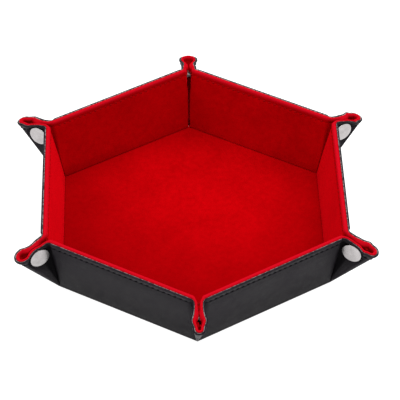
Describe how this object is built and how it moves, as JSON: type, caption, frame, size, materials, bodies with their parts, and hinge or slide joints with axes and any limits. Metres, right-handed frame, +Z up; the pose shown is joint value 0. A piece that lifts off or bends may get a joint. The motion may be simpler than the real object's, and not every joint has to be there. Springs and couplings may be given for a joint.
{
  "type": "hexagonal folding snap tray",
  "caption": "Shallow hexagonal tray of black leather lined with red velvet, whose walls snap up at pinched corner ears and fold out flat.",
  "frame": {"origin": "on the table, under the middle of the base", "axes": "+Z up; +Y through the back corner and ear; +X square to the right wall's fold"},
  "size_m": [0.2066, 0.2372, 0.0423],
  "materials": {
    "leather": "fine-grained black synthetic leather with a soft sheen",
    "velvet": "short-pile red velvet over thin padding",
    "board": "dense grey stiffener board",
    "snap_metal": "satin nickel plate"
  },
  "bodies": {
    "base": {"base_cover": "leather", "base_board": "board", "base_lining": "velvet"},
    "wall_right": {"wall_right_cover": "leather", "wall_right_board": "board", "wall_right_lining": "velvet"},
    "wall_back_right": {"wall_back_right_cover": "leather", "wall_back_right_board": "board", "wall_back_right_lining": "velvet"},
    "wall_back_left": {"wall_back_left_cover": "leather", "wall_back_left_board": "board", "wall_back_left_lining": "velvet"},
    "wall_left": {"wall_left_cover": "leather", "wall_left_board": "board", "wall_left_lining": "velvet"},
    "wall_front_left": {"wall_front_left_cover": "leather", "wall_front_left_board": "board", "wall_front_left_lining": "velvet"},
    "wall_front_right": {"wall_front_right_cover": "leather", "wall_front_right_board": "board", "wall_front_right_lining": "velvet"},
    "ear_right_back_stud_half": {"ear_right_back_stud_half_cover": "leather", "ear_right_back_stud_half_lining": "velvet", "snap_right_back_stud": "snap_metal"},
    "ear_right_back_socket_half": {"ear_right_back_socket_half_cover": "leather", "ear_right_back_socket_half_lining": "velvet", "snap_right_back_socket": "snap_metal"},
    "ear_back_stud_half": {"ear_back_stud_half_cover": "leather", "ear_back_stud_half_lining": "velvet", "snap_back_stud": "snap_metal"},
    "ear_back_socket_half": {"ear_back_socket_half_cover": "leather", "ear_back_socket_half_lining": "velvet", "snap_back_socket": "snap_metal"},
    "ear_left_back_stud_half": {"ear_left_back_stud_half_cover": "leather", "ear_left_back_stud_half_lining": "velvet", "snap_left_back_stud": "snap_metal"},
    "ear_left_back_socket_half": {"ear_left_back_socket_half_cover": "leather", "ear_left_back_socket_half_lining": "velvet", "snap_left_back_socket": "snap_metal"},
    "ear_left_front_stud_half": {"ear_left_front_stud_half_cover": "leather", "ear_left_front_stud_half_lining": "velvet", "snap_left_front_stud": "snap_metal"},
    "ear_left_front_socket_half": {"ear_left_front_socket_half_cover": "leather", "ear_left_front_socket_half_lining": "velvet", "snap_left_front_socket": "snap_metal"},
    "ear_front_stud_half": {"ear_front_stud_half_cover": "leather", "ear_front_stud_half_lining": "velvet", "snap_front_stud": "snap_metal"},
    "ear_front_socket_half": {"ear_front_socket_half_cover": "leather", "ear_front_socket_half_lining": "velvet", "snap_front_socket": "snap_metal"},
    "ear_right_front_stud_half": {"ear_right_front_stud_half_cover": "leather", "ear_right_front_stud_half_lining": "velvet", "snap_right_front_stud": "snap_metal"},
    "ear_right_front_socket_half": {"ear_right_front_socket_half_cover": "leather", "ear_right_front_socket_half_lining": "velvet", "snap_right_front_socket": "snap_metal"}
  },
  "joints": [
    {"name": "wall_right_fold", "type": "hinge", "parent": "base", "child": "wall_right", "pos_m": [0.07794, 0, 0.0009], "axis": [0, 1, 0], "range_deg": [0, 74]},
    {"name": "wall_back_right_fold", "type": "hinge", "parent": "base", "child": "wall_back_right", "pos_m": [0.03897, 0.0675, 0.0009], "axis": [-0.866, 0.5, 0], "range_deg": [0, 74]},
    {"name": "wall_back_left_fold", "type": "hinge", "parent": "base", "child": "wall_back_left", "pos_m": [-0.03897, 0.0675, 0.0009], "axis": [-0.866, -0.5, 0], "range_deg": [0, 74]},
    {"name": "wall_left_fold", "type": "hinge", "parent": "base", "child": "wall_left", "pos_m": [-0.07794, 0, 0.0009], "axis": [0, -1, 0], "range_deg": [0, 74]},
    {"name": "wall_front_left_fold", "type": "hinge", "parent": "base", "child": "wall_front_left", "pos_m": [-0.03897, -0.0675, 0.0009], "axis": [0.866, -0.5, 0], "range_deg": [0, 74]},
    {"name": "wall_front_right_fold", "type": "hinge", "parent": "base", "child": "wall_front_right", "pos_m": [0.03897, -0.0675, 0.0009], "axis": [0.866, 0.5, 0], "range_deg": [0, 74]},
    {"name": "ear_right_back_stud_half_crease", "type": "hinge", "parent": "wall_right", "child": "ear_right_back_stud_half", "pos_m": [0.07794, 0.045, 0.0009], "axis": [0.1994, 0, 0.9799], "range_deg": [0, 47.92]},
    {"name": "ear_right_back_socket_half_crease", "type": "hinge", "parent": "wall_back_right", "child": "ear_right_back_socket_half", "pos_m": [0.07794, 0.045, 0.0009], "axis": [-0.0997, -0.1727, -0.9799], "range_deg": [0, 47.92]},
    {"name": "ear_back_stud_half_crease", "type": "hinge", "parent": "wall_back_right", "child": "ear_back_stud_half", "pos_m": [0, 0.09, 0.0009], "axis": [0.0997, 0.1727, 0.9799], "range_deg": [0, 47.92]},
    {"name": "ear_back_socket_half_crease", "type": "hinge", "parent": "wall_back_left", "child": "ear_back_socket_half", "pos_m": [0, 0.09, 0.0009], "axis": [0.0997, -0.1727, -0.9799], "range_deg": [0, 47.92]},
    {"name": "ear_left_back_stud_half_crease", "type": "hinge", "parent": "wall_back_left", "child": "ear_left_back_stud_half", "pos_m": [-0.07794, 0.045, 0.0009], "axis": [-0.0997, 0.1727, 0.9799], "range_deg": [0, 47.92]},
    {"name": "ear_left_back_socket_half_crease", "type": "hinge", "parent": "wall_left", "child": "ear_left_back_socket_half", "pos_m": [-0.07794, 0.045, 0.0009], "axis": [0.1994, 0, -0.9799], "range_deg": [0, 47.92]},
    {"name": "ear_left_front_stud_half_crease", "type": "hinge", "parent": "wall_left", "child": "ear_left_front_stud_half", "pos_m": [-0.07794, -0.045, 0.0009], "axis": [-0.1994, 0, 0.9799], "range_deg": [0, 47.92]},
    {"name": "ear_left_front_socket_half_crease", "type": "hinge", "parent": "wall_front_left", "child": "ear_left_front_socket_half", "pos_m": [-0.07794, -0.045, 0.0009], "axis": [0.0997, 0.1727, -0.9799], "range_deg": [0, 47.92]},
    {"name": "ear_front_stud_half_crease", "type": "hinge", "parent": "wall_front_left", "child": "ear_front_stud_half", "pos_m": [0, -0.09, 0.0009], "axis": [-0.0997, -0.1727, 0.9799], "range_deg": [0, 47.92]},
    {"name": "ear_front_socket_half_crease", "type": "hinge", "parent": "wall_front_right", "child": "ear_front_socket_half", "pos_m": [0, -0.09, 0.0009], "axis": [-0.0997, 0.1727, -0.9799], "range_deg": [0, 47.92]},
    {"name": "ear_right_front_stud_half_crease", "type": "hinge", "parent": "wall_front_right", "child": "ear_right_front_stud_half", "pos_m": [0.07794, -0.045, 0.0009], "axis": [0.0997, -0.1727, 0.9799], "range_deg": [0, 47.92]},
    {"name": "ear_right_front_socket_half_crease", "type": "hinge", "parent": "wall_right", "child": "ear_right_front_socket_half", "pos_m": [0.07794, -0.045, 0.0009], "axis": [-0.1994, 0, -0.9799], "range_deg": [0, 47.92]}
  ],
  "couplings": [
    {"joint": "wall_back_right_fold", "follows": "wall_right_fold", "ratio": 1},
    {"joint": "wall_back_left_fold", "follows": "wall_right_fold", "ratio": 1},
    {"joint": "wall_left_fold", "follows": "wall_right_fold", "ratio": 1},
    {"joint": "wall_front_left_fold", "follows": "wall_right_fold", "ratio": 1},
    {"joint": "wall_front_right_fold", "follows": "wall_right_fold", "ratio": 1},
    {"joint": "ear_right_back_stud_half_crease", "follows": "wall_right_fold", "ratio": 0.64742},
    {"joint": "ear_right_back_socket_half_crease", "follows": "wall_right_fold", "ratio": 0.64742},
    {"joint": "ear_back_stud_half_crease", "follows": "wall_right_fold", "ratio": 0.64742},
    {"joint": "ear_back_socket_half_crease", "follows": "wall_right_fold", "ratio": 0.64742},
    {"joint": "ear_left_back_stud_half_crease", "follows": "wall_right_fold", "ratio": 0.64742},
    {"joint": "ear_left_back_socket_half_crease", "follows": "wall_right_fold", "ratio": 0.64742},
    {"joint": "ear_left_front_stud_half_crease", "follows": "wall_right_fold", "ratio": 0.64742},
    {"joint": "ear_left_front_socket_half_crease", "follows": "wall_right_fold", "ratio": 0.64742},
    {"joint": "ear_front_stud_half_crease", "follows": "wall_right_fold", "ratio": 0.64742},
    {"joint": "ear_front_socket_half_crease", "follows": "wall_right_fold", "ratio": 0.64742},
    {"joint": "ear_right_front_stud_half_crease", "follows": "wall_right_fold", "ratio": 0.64742},
    {"joint": "ear_right_front_socket_half_crease", "follows": "wall_right_fold", "ratio": 0.64742}
  ]
}
